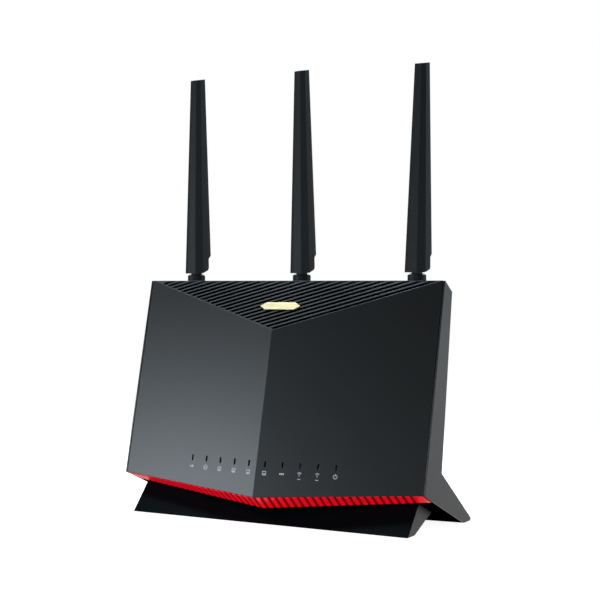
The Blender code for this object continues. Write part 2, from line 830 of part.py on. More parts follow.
def curve_through(name, knots, radius, finish):
    """A round lead along a smooth curve through its knots."""
    points = [Vector(knot) for knot in knots]
    padded = [points[0] * 2 - points[1], *points, points[-1] * 2 - points[-2]]
    path = []
    steps = 5
    for i in range(len(points) - 1):
        before, start, end, after = padded[i:i + 4]
        for step in range(steps):
            t = step / steps
            path.append(
                0.5 * (
                    2 * start + (end - before) * t
                    + (2 * before - 5 * start + 4 * end - after) * t ** 2
                    + (3 * start - before - 3 * end + after) * t ** 3
                )
            )
    path.append(points[-1])
    curve = bpy.data.curves.new(name, "CURVE")
    curve.dimensions = "3D"
    curve.bevel_depth = radius
    curve.bevel_resolution = 2
    curve.use_fill_caps = True
    spline = curve.splines.new("POLY")
    spline.points.add(len(path) - 1)
    for target, point in zip(spline.points, path):
        target.co = (*point, 1.0)
    curve.materials.append(finish)
    made = bpy.data.objects.new(name, curve)
    bpy.context.scene.collection.objects.link(made)


def make_leads():
    """Thin coaxial leads from the antenna connectors and the internal antenna to the board."""
    clear = LEAD_RADIUS + 0.0005
    for i, x in enumerate(antenna_xs(), 1):
        end = rear_point(x * 0.93, BOARD_BACK + clear, 0.1100)
        knots = [
            (x, ANTENNA_Y, 0.1490),
            (x, ANTENNA_Y, 0.1460),
            (x * 0.98, ANTENNA_Y - 0.0025, 0.1415),
            (end.x, end.y + 0.0035, end.z + 0.0010),
            tuple(end),
        ]
        curve_through(f"antenna_lead_{i}", knots, LEAD_RADIUS, dark_black())
    y = side_button_y(0.1225)
    end = rear_point(-BOARD_HALF + 0.006, BOARD_FRONT - clear, 0.0700)
    knots = [
        (-0.1123, y, 0.1080),
        (-0.1105, y, 0.1040),
        (-0.1060, (y + end.y) / 2 - 0.002, 0.1010),
        (end.x - 0.002, end.y - 0.0040, end.z),
        tuple(end),
    ]
    curve_through("internal_antenna_lead", knots, LEAD_RADIUS, dark_black())


def make_connector(i, x):
    """Bulkhead connector through the back cover's top, with its hexagon above."""
    place = (x, ANTENNA_Y, 0.0)
    nut, shank, chamfer = 0.0040, CONNECTOR_RADIUS - 0.0001, 0.0005
    low, nut_top, high = 0.1493, 0.1585, 0.1700
    profile = [(0, low), (nut, low), (nut, nut_top), (shank, nut_top)]
    profile += [(shank, high - chamfer), (shank - chamfer, high), (0, high)]
    connector = add_object(f"antenna_connector_{i}", turned(profile, 16, "Z", place), brass())
    smooth(connector)
    flange = turned(rod(nut + 0.0005, COLLAR_LOW - 0.0017, COLLAR_LOW - GAP), 6, "Z", place)
    join(connector, flange, "hexagon")


def arc(centre_radius, centre_height, radius, start, end, steps=4):
    """Points (radius, height) along an arc of a turned profile, with its angles in degrees."""
    points = []
    for step in range(steps + 1):
        angle = math.radians(start + (end - start) * step / steps)
        points.append((centre_radius + radius * math.cos(angle), centre_height + radius * math.sin(angle)))
    return points


def make_collar(i, swivel):
    """Smooth collar, round at its top, that screws the antenna to its connector."""
    bore = COLLAR_RADIUS - 0.0015
    profile = [(bore, COLLAR_LOW), (COLLAR_RADIUS - 0.0004, COLLAR_LOW), (COLLAR_RADIUS, COLLAR_LOW + 0.0004)]
    profile += arc(COLLAR_RADIUS - COLLAR_ROUND, COLLAR_HIGH - COLLAR_ROUND, COLLAR_ROUND, 0, 90)
    profile += [
        (COLLAR_MOUTH, COLLAR_HIGH),
        (COLLAR_MOUTH, COLLAR_HIGH - COLLAR_LIP),
        (bore, COLLAR_HIGH - COLLAR_LIP),
    ]
    smooth(add_object(f"antenna_collar_{i}", turned(profile, 32), antenna_plastic(), swivel))


def make_base(i, swivel):
    """Swivelling foot of an antenna: a captive flange, a round neck and the hinge's tongue."""
    flange, neck, shoulder = 0.0048, COLLAR_MOUTH - GAP, 0.0054
    flange_top = COLLAR_HIGH - COLLAR_LIP - GAP
    flange_low = flange_top - 0.0016
    profile = [
        (0, flange_low), (flange, flange_low), (flange, flange_top),
        (neck, flange_top), (neck, COLLAR_HIGH + GAP), (shoulder, COLLAR_HIGH + GAP),
        (shoulder, SHOULDER_Z), (0, SHOULDER_Z),
    ]
    base = add_object(f"antenna_base_{i}", turned(profile, 20), antenna_plastic(), swivel)
    smooth(base)
    outline = [(-TONGUE_RADIUS, SHOULDER_Z - 0.0005), (TONGUE_RADIUS, SHOULDER_Z - 0.0005)]
    for k in range(9):
        angle = math.pi * k / 8
        outline.append((TONGUE_RADIUS * math.cos(angle), PIN_Z + TONGUE_RADIUS * math.sin(angle)))
    join(base, prism(outline, "X", -TONGUE_HALF, TONGUE_HALF), "tongue")
    hole = turned(rod(HINGE_PIN_RADIUS + GAP, -0.006, 0.006), 12, "X", (0.0, 0.0, PIN_Z))
    cut(base, hole, "pin_hole")


def blade_section():
    """Eight-sided section of a blade at its foot, as (x, y), with an off-centre front edge."""
    return [
        (-0.0079, -0.0032), (-0.0051, -0.0044), (0.0020, -0.0050), (0.0077, -0.0023),
        (0.0084, 0.0044), (0.0077, 0.0090), (-0.0059, 0.0090), (-0.0080, 0.0054),
    ]


def make_blade(i, hinge):
    """Tapered blade, in the space of its hinge pin."""
    foot = BLADE_BOTTOM_Z - PIN_Z
    tip = BLADE_FRONT_TOP_Z - PIN_Z
    section = blade_section()
    front = min(y for _, y in section) * BLADE_TIP_SCALE
    back = max(y for _, y in section) * BLADE_TIP_SCALE
    rise = HEIGHT - BLADE_FRONT_TOP_Z
    shape = bmesh.new()
    low = [shape.verts.new((x, y, foot)) for x, y in section]
    high = []
    for x, y in section:
        x, y = x * BLADE_TIP_SCALE, y * BLADE_TIP_SCALE
        high.append(shape.verts.new((x, y, tip + rise * (y - front) / (back - front))))
    shape.faces.new(low)
    shape.faces.new(reversed(high))
    for k in range(len(section)):
        n = (k + 1) % len(section)
        shape.faces.new((low[k], high[k], high[n], low[n]))
    bmesh.ops.triangulate(shape, faces=[face for face in shape.faces if len(face.verts) == 4])
    blade = add_object(f"antenna_blade_{i}", shape, antenna_plastic(), hinge)
    step_foot, step_head = 0.0054, 0.0100
    beyond, below = 0.0200, -0.0120
    recess = [
        (-0.0030, foot), (0.0036, -0.0034), (RECESS_Y, -0.0012), (RECESS_Y, step_foot),
        (0.0120, step_head), (beyond, step_head), (beyond, below), (-0.0030, below),
    ]
    cut(blade, prism(recess, "X", -0.012, 0.012), "rear_recess")
    fork = box(around(0.0, TONGUE_HALF + GAP), (-0.0033, 0.015), (-0.012, 0.0034))
    cut(blade, fork, "fork")
    channel = box(around(0.0, 0.0030), (-0.0004, 0.0016), (0.0030, 0.1180))
    cut(blade, channel, "channel")
    hole = turned(rod(HINGE_PIN_RADIUS + GAP, -0.0071, 0.0071), 12, "X")
    cut(blade, hole, "pin_hole")


def make_hinge_pin(i, hinge):
    pin = turned(rod(HINGE_PIN_RADIUS, -0.0068, 0.0068), 12, "X")
    smooth(add_object(f"hinge_pin_{i}", pin, screw_steel(), hinge))


def make_radiator(i, hinge):
    """The printed aerial inside a blade."""
    board = box(around(0.0, 0.0026), (0.0001, 0.0011), (0.0042, 0.1150))
    add_object(f"radiator_{i}", board, board_green(), hinge)


def make_antennas():
    for i, (x, lean) in enumerate(zip(antenna_xs(), ANTENNA_LEANS), 1):
        make_connector(i, x)
        swivel = empty(f"swivel_axis_{i}", (x, ANTENNA_Y, 0.0))
        hinge = empty(f"hinge_axis_{i}", (0.0, 0.0, PIN_Z), swivel, -math.radians(lean))
        make_collar(i, swivel)
        make_base(i, swivel)
        make_blade(i, hinge)
        make_hinge_pin(i, hinge)
        make_radiator(i, hinge)


def main():
    clear_scene()
    rear = empty("rear_face_frame", (0.0, *REAR_BOTTOM), None, -REAR_LEAN)
    make_body_frame()
    make_front_cover()
    make_vent_screen()
    make_emblem()
    make_accent_strip()
    make_base_cover()
    make_front_leg()
    make_foot_pads()
    make_back_cover()
    make_main_board(rear)
    make_heatsink(rear)
    make_shields(rear)
    make_jacks(rear)
    make_usb_sockets(rear)
    make_power_inlet(rear)
    make_power_switch(rear)
    make_reset_button(rear)
    make_side_buttons()
    make_light_guide()
    make_lamp_board()
    make_label(rear)
    make_screws(rear)
    make_internal_antenna()
    make_leads()
    make_antennas()


main()
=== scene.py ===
"""The looks of the stand-up wireless router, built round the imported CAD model.

Metres, +Z up. The front faces -Y, and +X is to the right of someone facing it.
"""

import json
import math

import bmesh
import bpy
from mathutils import Matrix, Vector
from mathutils.bvhtree import BVHTree


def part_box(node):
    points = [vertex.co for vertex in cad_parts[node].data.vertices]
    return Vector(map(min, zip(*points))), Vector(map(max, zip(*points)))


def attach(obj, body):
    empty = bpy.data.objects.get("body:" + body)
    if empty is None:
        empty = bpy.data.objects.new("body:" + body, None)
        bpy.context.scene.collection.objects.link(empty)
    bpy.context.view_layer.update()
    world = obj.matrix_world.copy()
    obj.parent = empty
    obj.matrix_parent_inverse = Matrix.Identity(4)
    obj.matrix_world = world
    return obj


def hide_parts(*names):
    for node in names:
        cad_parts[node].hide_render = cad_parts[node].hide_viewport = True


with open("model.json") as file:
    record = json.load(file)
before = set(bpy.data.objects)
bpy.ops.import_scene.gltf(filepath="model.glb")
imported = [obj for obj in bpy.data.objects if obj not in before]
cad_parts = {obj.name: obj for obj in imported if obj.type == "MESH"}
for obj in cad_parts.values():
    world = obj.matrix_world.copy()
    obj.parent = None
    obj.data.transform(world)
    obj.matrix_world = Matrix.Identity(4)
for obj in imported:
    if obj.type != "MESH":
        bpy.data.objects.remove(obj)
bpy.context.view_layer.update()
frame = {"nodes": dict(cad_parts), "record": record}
NODES = frame["nodes"]
RECORD = frame["record"]
BODY_OF = {node: body for body, members in RECORD["behaviour"]["bodies"].items() for node in members}
SLOT_OF = {row["node"]: row["material_slot"] for row in RECORD["subparts"]}

# Camera
CAMERA_PLACE = (0.4756, -0.8456, 0.1653)
CAMERA_AZIMUTH = 28.857
CAMERA_DOWN = 0.517
CAMERA_ROLL = -0.121
CAMERA_LENS = 80.8
SENSOR_WIDTH = 36.0

# Front cover: two panels that meet at an upright ridge, under a sloping grooved V
COVER_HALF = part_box("front_cover")[1].x
PANEL_TOP_Y = 0.0022
PANEL_TOP_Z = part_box("front_cover")[1].z
PANEL_LEAN = 0.235
RIDGE_RISE = 0.017
APEX_Z = 0.1354
SIDE_BOTTOM_Z = 0.0283
RIDGE_BOTTOM_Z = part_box("front_cover")[0].z
COVER_BACK_Y = 0.0145
COVER_BACK_Z = 0.1628
COVER_THICKNESS = 0.0025
COVER_ROUND = 0.0003
TOP_LIP = 0.0032
GROOVE_COUNT = 23
GROOVE_PITCHES = 24.5
GROOVE_WIDTH = 0.00185
GROOVE_FIRST = 0.0006
GROOVE_MARGIN = 0.0007

# Black screen behind the grooves: how far up the V its corners are, and how far behind the cover
SCREEN_CORNER_SHARE = 0.84
SCREEN_CORNER_SPACE = 0.0022
SCREEN_APEX_SHARE = -0.02
SCREEN_APEX_SPACE = 0.0005
SCREEN_OVERHANG = 0.0022
SCREEN_THICKNESS = 0.0012

# Indicator windows and the icons under them
WINDOW_COUNT = 10
WINDOW_PITCH = 0.01287
WINDOW_Z = 0.0435
WINDOW_WIDTH = 0.0011
WINDOW_HEIGHT = 0.0038
ICON_DROP = 0.0060
ICON_HALF = 0.00185
PRINT_LIFT = 0.00004
PRINT_THICKNESS = 0.00003

# Red bar with slanted tiles
STRIP_TOP_GAP = 0.0003
STRIP_BACK_SIDE = (-0.0163, 0.0219)
STRIP_BACK_MIDDLE = (-0.0345, 0.0111)
STRIP_DEPTH = 0.0028
STRIP_TOP_DEPTH = 0.0030
TILE_PITCH = 0.00525
TILE_SHARE = 0.53
TILE_SLANT = -0.0030
TILE_DEPTH = 0.0003
TILE_FOOT = 0.0002
TILE_EDGE = 0.03
TILE_END_GAP = 0.0006
BED_STEPS = 24
LAST_TILE_START = 0.1125

# Back cover, whose rear face leans back
COVER_BOTTOM_Y = -0.0027
COVER_BOTTOM_Z = 0.0400
REAR_LEAN = math.atan2(COVER_BACK_Y - COVER_BOTTOM_Y, COVER_BACK_Z - COVER_BOTTOM_Z)
REAR_BOTTOM = (0.0115, 0.0303)
REAR_HALF = 0.104
REAR_FACE_HEIGHT = 0.1318
REAR_WALL = 0.0021
REAR_SIDE_WALL = 0.0026
REAR_CORNER_STEP = 0.0012
REAR_ROUND = 0.0009
REAR_TOP_GAP = 0.0001
WALL_CUT = (-0.006, 0.004)
OPENING_CUT = (-0.008, 0.004)

# Cooling slots in two rows that slant opposite ways
VENT_COUNT = 24
VENT_PITCH = 0.0070
VENT_WIDTH = 0.0024
VENT_SLANT = 0.0150
VENT_ROWS = ((0.0600, 0.0870, VENT_SLANT), (0.0930, 0.1200, -VENT_SLANT))

# Sockets, buttons and screws in the rear face, from its lower edge up
PORT_HEIGHT = 0.0195
PORT_FACE = -0.0004
PORT_CORNER = 0.0003
JACK_XS = [0.047 - 0.0188 * i for i in range(6)]
JACK_HALF = (0.0081, 0.0072)
CONTACT_COUNT = 8
CONTACT_PITCH = 0.00102
CONTACT_HALF = 0.00018
CONTACT_FRONT = 0.0030
CONTACT_LOW = 0.0046
CONTACT_HIGH = 0.0010
SOCKET_FLOOR = 0.0120
USB_XS = [-0.066, -0.080]
USB_HALF = (0.0037, 0.0076)
TONGUE_SPAN = (-0.0017, 0.0005)
TONGUE_SET_BACK = 0.0011
TONGUE_HALF_HEIGHT = 0.0056
INLET_X = 0.067
INLET_HALF = (0.0050, 0.0055)
POWER_X = 0.086
POWER_HALF = (0.0048, 0.0048)
RESET_X = -0.093
RESET_RADIUS = 0.0018
SCREW_PLACES = [(-0.0955, 0.0400), (-0.0580, 0.1262), (0.0955, 0.0400), (0.0580, 0.1262)]
SCREW_RADIUS = 0.0013
ANTENNA_XS = [-0.0920, 0.0, 0.0920]
ANTENNA_Y = 0.0201
CONNECTOR_RADIUS = 0.0032
CONNECTOR_CUT = (0.150, 0.170)
GAP = 0.0003

# Rounded edges: their widths, and the angle from which an edge is rounded
CASING_ROUND = 0.0003
LEG_ROUND = 0.0004
PAD_ROUND = 0.0004
BADGE_ROUND = 0.00022
TILE_ROUND = 0.00015
BLADE_ROUND = 0.00035
SWIVEL_ROUND = 0.0002
COLLAR_ROUND = 0.00015
CONNECTOR_ROUND = 0.00012
BUTTON_ROUND = 0.0006
RESET_ROUND = 0.0003
LABEL_ROUND = 0.0001
SCREW_ROUND = 0.00012
SOCKET_ROUND = 0.00018
TONGUE_ROUND = 0.00012
EDGE_ANGLE = 28.0
ROUND_PIECE_ANGLE = 40.0
BLADE_ANGLE = 18.0
COVER_ANGLE = 12.0
REAR_ANGLE = 20.0
TINY = 1e-6

# Studio lights round the router: (azimuth from the front, elevation, distance, width, height, power)
STUDIO = {
    "left_softbox": (-48.0, 4.0, 1.30, 0.40, 0.30, 5.2),
    "front_left_softbox": (-26.0, 3.0, 1.30, 0.30, 0.22, 3.3),
    "high_left_card": (-60.0, 56.0, 1.40, 0.50, 0.50, 2.7),
    "rear_right_card": (151.0, 12.0, 1.60, 1.60, 1.60, 3.6),
    "right_card": (125.0, 10.0, 1.60, 0.80, 1.60, 10.0),
    "front_right_card": (30.0, 3.0, 1.60, 0.40, 0.40, 3.4),
    "rear_card": (205.0, 62.0, 1.60, 1.20, 0.80, 28.0),
}
LIGHT_TARGET = (0.0, 0.0, 0.10)
COOL_LIGHT = (0.90, 1.0, 1.08)
ROOM_LEVEL = 0.015

# Pale floor: its own light for the eye, what reflections see of it, and where it turns pure white
FLOOR_SIZE = 8.0
FLOOR_LIGHT = 0.93
FLOOR_GLOW = 0.78
FLOOR_FADE = (0.2, 0.7)

# Moulded plastics: colour, roughness, grains per metre, grain depth, specular level, painted glow
# (emission on parts that are no lamps)
PLASTICS = {
    "satin_casing": ((0.0066, 0.0074, 0.0082), 0.37, 2600.0, 0.00002, 0.50, 0.0),
    "matte_casing": ((0.0020, 0.0022, 0.0024), 0.70, 2000.0, 0.00002, 0.0, 0.0),
    # The leg's red is held low to cancel the red light that the bar's painted glow throws on it.
    "leg_casing": ((0.0004, 0.0034, 0.0044), 0.30, 2000.0, 0.00001, 0.035, 0.0),
    # A lighter, glossier copy of the leg's plastic: painted light on the leg's end faces.
    "painted_lit_leg_end": ((0.0060, 0.0066, 0.0072), 0.36, 2000.0, 0.00002, 0.40, 0.0),
    "back_casing": ((0.0130, 0.0135, 0.0140), 0.50, 1800.0, 0.00005, 0.45, 0.0),
    "antenna_plastic": ((0.0238, 0.0254, 0.0268), 0.42, 2400.0, 0.00002, 0.07, 0.0),
    "button_plastic": ((0.0180, 0.0185, 0.0190), 0.34, 2600.0, 0.00002, 0.50, 0.0),
    "socket_plastic": ((0.0110, 0.0110, 0.0115), 0.45, 2600.0, 0.00002, 0.50, 0.0),
    # The red bar is no lamp: its glow is painted light.
    "red_accent": ((0.940, 0.0030, 0.0200), 0.24, 1500.0, 0.00001, 0.50, 0.56),
    # A darker, dimmer copy of the bar's red: painted shade in the grooves between the tiles.
    "painted_shade_red_groove": ((0.300, 0.0003, 0.0010), 0.50, 1500.0, 0.00001, 0.05, 0.35),
    "foot_rubber": ((0.0160, 0.0160, 0.0165), 0.80, 1600.0, 0.00006, 0.30, 0.0),
    "label_film": ((0.085, 0.087, 0.090), 0.42, 900.0, 0.00001, 0.50, 0.0),
    "lead_jacket": ((0.0150, 0.0150, 0.0155), 0.40, 1200.0, 0.00002, 0.50, 0.0),
    "icon_print": ((0.72, 0.74, 0.76), 0.55, 3000.0, 0.00001, 0.50, 0.0),
}

# Metals: colour, roughness, how much finer the scratches are along each axis, scratches per metre
METALS = {
    "aluminium": ((0.62, 0.63, 0.64), 0.38, (1.0, 40.0, 1.0), 900.0),
    "tin_plate": ((0.66, 0.65, 0.62), 0.30, (30.0, 1.0, 1.0), 900.0),
    "gold_plating": ((0.86, 0.62, 0.24), 0.26, (1.0, 1.0, 20.0), 900.0),
    "gold_badge": ((0.78, 0.68, 0.40), 0.40, (1.0, 12.0, 12.0), 600.0),
    "screw_steel": ((0.10, 0.10, 0.11), 0.34, (1.0, 1.0, 1.0), 700.0),
}


# ---------------------------------------------------------------- materials

def new_material(name):
    made = bpy.data.materials.new(name)
    made.use_nodes = True
    nodes = made.node_tree.nodes
    shader = nodes["Principled BSDF"]
    return made, nodes, made.node_tree.links, shader


def place_noise(nodes, links, scale, detail=3.0, roughness=0.5):
    """A noise texture laid out in metres. scale is in features per metre."""
    coordinates = nodes.new("ShaderNodeTexCoord")
    noise = nodes.new("ShaderNodeTexNoise")
    noise.inputs["Scale"].default_value = scale
    noise.inputs["Detail"].default_value = detail
    noise.inputs["Roughness"].default_value = roughness
    links.new(coordinates.outputs["Object"], noise.inputs["Vector"])
    return noise


def spread(nodes, links, source, low, high):
    """Maps a noise, whose values bunch about a half, to a range."""
    ramp = nodes.new("ShaderNodeMapRange")
    ramp.inputs["From Min"].default_value = 0.3
    ramp.inputs["From Max"].default_value = 0.7
    ramp.inputs["To Min"].default_value = low
    ramp.inputs["To Max"].default_value = high
    links.new(source, ramp.inputs["Value"])
    return ramp.outputs["Result"]


def two_tones(nodes, links, source, dark, light):
    mix = nodes.new("ShaderNodeMix")
    mix.data_type = "RGBA"
    mix.inputs[6].default_value = (*dark, 1.0)
    mix.inputs[7].default_value = (*light, 1.0)
    links.new(source, mix.inputs["Factor"])
    return mix.outputs[2]


def add_bump(nodes, links, shader, height, strength, distance):
    bump = nodes.new("ShaderNodeBump")
    bump.inputs["Strength"].default_value = strength
    bump.inputs["Distance"].default_value = distance
    links.new(height, bump.inputs["Height"])
    links.new(bump.outputs["Normal"], shader.inputs["Normal"])


def moulded_plastic(name, color, roughness, grain, grain_depth, specular, glow):
    """Moulded plastic: an even spark-eroded grain, faint flow marks and a slightly uneven gloss."""
    made, nodes, links, shader = new_material(name)
    flow = place_noise(nodes, links, 30.0, 2.0)
    dark = tuple(channel * 0.94 for channel in color)
    light = tuple(channel * 1.06 for channel in color)
    tone = spread(nodes, links, flow.outputs["Fac"], 0.0, 1.0)
    links.new(two_tones(nodes, links, tone, dark, light), shader.inputs["Base Color"])
    gloss = place_noise(nodes, links, 420.0, 3.0)
    links.new(
        spread(nodes, links, gloss.outputs["Fac"], roughness - 0.012, roughness + 0.012),
        shader.inputs["Roughness"],
    )
    texture = place_noise(nodes, links, grain, 2.0, 0.6)
    add_bump(nodes, links, shader, texture.outputs["Fac"], 0.20, grain_depth)
    shader.inputs["Specular IOR Level"].default_value = specular
    # Emission here is painted glow: none of these plastics is a lamp.
    shader.inputs["Emission Color"].default_value = (*color, 1.0)
    shader.inputs["Emission Strength"].default_value = glow
    return made


def brushed_metal(name, color, roughness, stretch, scale):
    """Metal with fine parallel scratches."""
    made, nodes, links, shader = new_material(name)
    coordinates = nodes.new("ShaderNodeTexCoord")
    mapping = nodes.new("ShaderNodeMapping")
    mapping.inputs["Scale"].default_value = stretch
    noise = nodes.new("ShaderNodeTexNoise")
    noise.inputs["Scale"].default_value = scale / max(stretch)
    noise.inputs["Detail"].default_value = 4.0
    links.new(coordinates.outputs["Object"], mapping.inputs["Vector"])
    links.new(mapping.outputs["Vector"], noise.inputs["Vector"])
    dark = tuple(channel * 0.85 for channel in color)
    tone = spread(nodes, links, noise.outputs["Fac"], 0.0, 1.0)
    links.new(two_tones(nodes, links, tone, dark, color), shader.inputs["Base Color"])
    gloss = spread(nodes, links, noise.outputs["Fac"], roughness - 0.06, roughness + 0.06)
    links.new(gloss, shader.inputs["Roughness"])
    add_bump(nodes, links, shader, noise.outputs["Fac"], 0.15, 0.00002)
    shader.inputs["Metallic"].default_value = 1.0
    return made


def circuit_board_material():
    """Solder mask over copper tracks, with scattered bare pads."""
    made, nodes, links, shader = new_material("solder_mask")
    coordinates = nodes.new("ShaderNodeTexCoord")
    tracks = nodes.new("ShaderNodeTexBrick")
    tracks.inputs["Scale"].default_value = 160.0
    tracks.inputs["Mortar Size"].default_value = 0.06
    tracks.inputs["Color1"].default_value = (0.008, 0.060, 0.030, 1.0)
    tracks.inputs["Color2"].default_value = (0.012, 0.085, 0.042, 1.0)
    tracks.inputs["Mortar"].default_value = (0.004, 0.036, 0.018, 1.0)
    turn = nodes.new("ShaderNodeMapping")
    turn.inputs["Rotation"].default_value = (math.radians(90), 0.0, 0.0)
    links.new(coordinates.outputs["Object"], turn.inputs["Vector"])
    links.new(turn.outputs["Vector"], tracks.inputs["Vector"])
    links.new(tracks.outputs["Color"], shader.inputs["Base Color"])
    add_bump(nodes, links, shader, tracks.outputs["Fac"], 0.3, 0.00004)
    shader.inputs["Roughness"].default_value = 0.38
    return made


def frosted_plastic(name, color, roughness):
    """Milky clear plastic with fine cloudiness."""
    made, nodes, links, shader = new_material(name)
    cloud = place_noise(nodes, links, 500.0)
    dark = tuple(channel * 0.8 for channel in color)
    tone = spread(nodes, links, cloud.outputs["Fac"], 0.0, 1.0)
    links.new(two_tones(nodes, links, tone, dark, color), shader.inputs["Base Color"])
    shader.inputs["Roughness"].default_value = roughness
    shader.inputs["Transmission Weight"].default_value = 0.3
    return made


def make_materials():
    made = {name: moulded_plastic(name, *looks) for name, looks in PLASTICS.items()}
    made |= {name: brushed_metal(name, *looks) for name, looks in METALS.items()}
    made["circuit_board"] = circuit_board_material()
    made["clear_plastic"] = frosted_plastic("clear_plastic", (0.05, 0.052, 0.055), 0.25)
    return made


MATERIALS = make_materials()


# ------------------------------------------------------------------ helpers

def finish_object(name, shape, material, body):
    """Turns a bmesh into a piece that rides on a body."""
    mesh = bpy.data.meshes.new(name)
    bmesh.ops.recalc_face_normals(shape, faces=shape.faces)
    shape.to_mesh(mesh)
    shape.free()
    made = bpy.data.objects.new(name, mesh)
    mesh.materials.append(MATERIALS[material])
    bpy.context.scene.collection.objects.link(made)
    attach(made, body)
    return made


def soften(obj, width, segments=2, angle=EDGE_ANGLE, round_piece=False):
    """Rounds an object's edges. A round piece is also shaded smooth; flat faces stay flat."""
    bevel = obj.modifiers.new("soft_edges", "BEVEL")
    bevel.width = width
    bevel.segments = segments
    bevel.limit_method = "ANGLE"
    bevel.angle_limit = math.radians(angle)
    bevel.use_clamp_overlap = True
    bevel.miter_outer = "MITER_ARC"
    if round_piece:
        obj.data.shade_smooth()
        weighted = obj.modifiers.new("flat_faces_stay_flat", "WEIGHTED_NORMAL")
        weighted.mode = "FACE_AREA"
        weighted.weight = 100
        weighted.keep_sharp = True
    return obj


def clean_copy(node):
    """The node's mesh as a bmesh, with its triangles merged back into flat faces."""
    shape = bmesh.new()
    shape.from_mesh(NODES[node].data)
    bmesh.ops.remove_doubles(shape, verts=shape.verts, dist=2e-6)
    bmesh.ops.dissolve_limit(shape, angle_limit=math.radians(0.4), verts=shape.verts, edges=shape.edges)
    return shape


def refine(node, material, width, segments=2, angle=EDGE_ANGLE, round_piece=False):
    """Replaces a CAD node with a copy of it that has rounded edges."""
    made = finish_object(f"{node}_fine", clean_copy(node), material, BODY_OF[node])
    soften(made, width, segments, angle, round_piece)
    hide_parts(node)
    return made


def refine_round(node, material, width):
    """Refines a turned piece, whose long facets are shaded smooth."""
    return refine(node, material, width, 2, ROUND_PIECE_ANGLE, True)


def add_box(shape, x, y, z):
    """A box from three (low, high) pairs."""
    corners = [shape.verts.new((x[i & 1], y[i >> 1 & 1], z[i >> 2 & 1])) for i in range(8)]
    for face in ((0, 2, 3, 1), (4, 5, 7, 6), (0, 1, 5, 4), (2, 6, 7, 3), (0, 4, 6, 2), (1, 3, 7, 5)):
        shape.faces.new([corners[i] for i in face])


def around(middle, half):
    return (middle - half, middle + half)


def add_prism(shape, outline, low, high):
    """Extrudes an (x, z) outline along Y."""
    ends = [[shape.verts.new((x, y, z)) for x, z in outline] for y in (low, high)]
    shape.faces.new(ends[0])
    shape.faces.new(reversed(ends[1]))
    for i in range(len(outline)):
        j = (i + 1) % len(outline)
        shape.faces.new((ends[0][i], ends[1][i], ends[1][j], ends[0][j]))


def circle(radius, steps, centre=(0.0, 0.0)):
    """Points of a circle, as an outline."""
    angles = [2 * math.pi * step / steps for step in range(steps)]
    return [(centre[0] + radius * math.cos(a), centre[1] + radius * math.sin(a)) for a in angles]


def rounded(x, z, radius, steps=4):
    """Outline of a rectangle from two (low, high) pairs, with round corners."""
    points = []
    for turn, (cx, cz) in enumerate(((x[1], z[1]), (x[0], z[1]), (x[0], z[0]), (x[1], z[0]))):
        inner = (cx - math.copysign(radius, cx - sum(x) / 2), cz - math.copysign(radius, cz - sum(z) / 2))
        for step in range(steps + 1):
            angle = math.pi / 2 * (turn + step / steps)
            points.append((inner[0] + radius * math.cos(angle), inner[1] + radius * math.sin(angle)))
    return points


def shell_of(faces, inner_point):
    """A closed wall: outer faces as lists of points, and the same faces at their inner points."""
    shape = bmesh.new()
    corners = {}

    def corner(point):
        key = tuple(round(value, 7) for value in point)
        if key not in corners:
            corners[key] = (shape.verts.new(point), shape.verts.new(inner_point(Vector(point))))
        return corners[key]

    rim = {}
    for face in faces:
        pairs = [corner(point) for point in face]
        shape.faces.new([pair[0] for pair in pairs])
        shape.faces.new([pair[1] for pair in reversed(pairs)])
        for k, pair in enumerate(pairs):
            after = pairs[(k + 1) % len(pairs)]
            if (after[0], pair[0]) in rim:
                del rim[(after[0], pair[0])]
            else:
                rim[(pair[0], after[0])] = (pair, after)
    for pair, after in rim.values():
        shape.faces.new((after[0], pair[0], pair[1], after[1]))
    return shape


def apply_modifiers(obj):
    """Bakes an object's modifiers into its mesh."""
    graph = bpy.context.evaluated_depsgraph_get()
    mesh = bpy.data.meshes.new_from_object(obj.evaluated_get(graph), depsgraph=graph)
    old = obj.data
    obj.modifiers.clear()
    obj.data = mesh
    bpy.data.meshes.remove(old)


def cut_out(obj, shape):
    """Cuts a bmesh's closed shapes from an object."""
    bmesh.ops.recalc_face_normals(shape, faces=shape.faces)
    mesh = bpy.data.meshes.new("cutter")
    shape.to_mesh(mesh)
    shape.free()
    cutter = bpy.data.objects.new("cutter", mesh)
    bpy.context.scene.collection.objects.link(cutter)
    modifier = obj.modifiers.new("cut", "BOOLEAN")
    modifier.operation = "DIFFERENCE"
    modifier.solver = "EXACT"
    modifier.object = cutter
    bpy.context.view_layer.update()
    apply_modifiers(obj)
    bpy.data.objects.remove(cutter, do_unlink=True)
    bpy.data.meshes.remove(mesh)


def leaning(shape):
    """Moves a shape from the leaning frame of the rear face (across, out, up) to world space."""
    lean = Matrix.Translation((0.0, *REAR_BOTTOM)) @ Matrix.Rotation(-REAR_LEAN, 4, "X")
    bmesh.ops.transform(shape, matrix=lean, verts=shape.verts)
    return shape


# ------------------------------------------------------- the casing's pieces

def window_xs():
    return [(i - (WINDOW_COUNT - 1) / 2) * WINDOW_PITCH for i in range(WINDOW_COUNT)]


def make_casing():
    """The frame, the underside, the front leg with painted light on its ends, the badge and the pads."""
    refine("body_frame", "satin_casing", CASING_ROUND, 3)
    refine("base_cover", "matte_casing", LEG_ROUND)
    leg = refine("front_leg", "leg_casing", LEG_ROUND, 3)
    # The faces across X, the leg's ends, take the lighter copy: painted light.
    leg.data.materials.append(MATERIALS["painted_lit_leg_end"])
    for face in leg.data.polygons:
        face.material_index = int(abs(face.normal.x) > 0.9)
    refine("emblem", "gold_badge", BADGE_ROUND)
    for foot in ("front", "rear"):
        for side in ("left", "right"):
            refine(f"{foot}_foot_pad_{side}", "foot_rubber", PAD_ROUND)


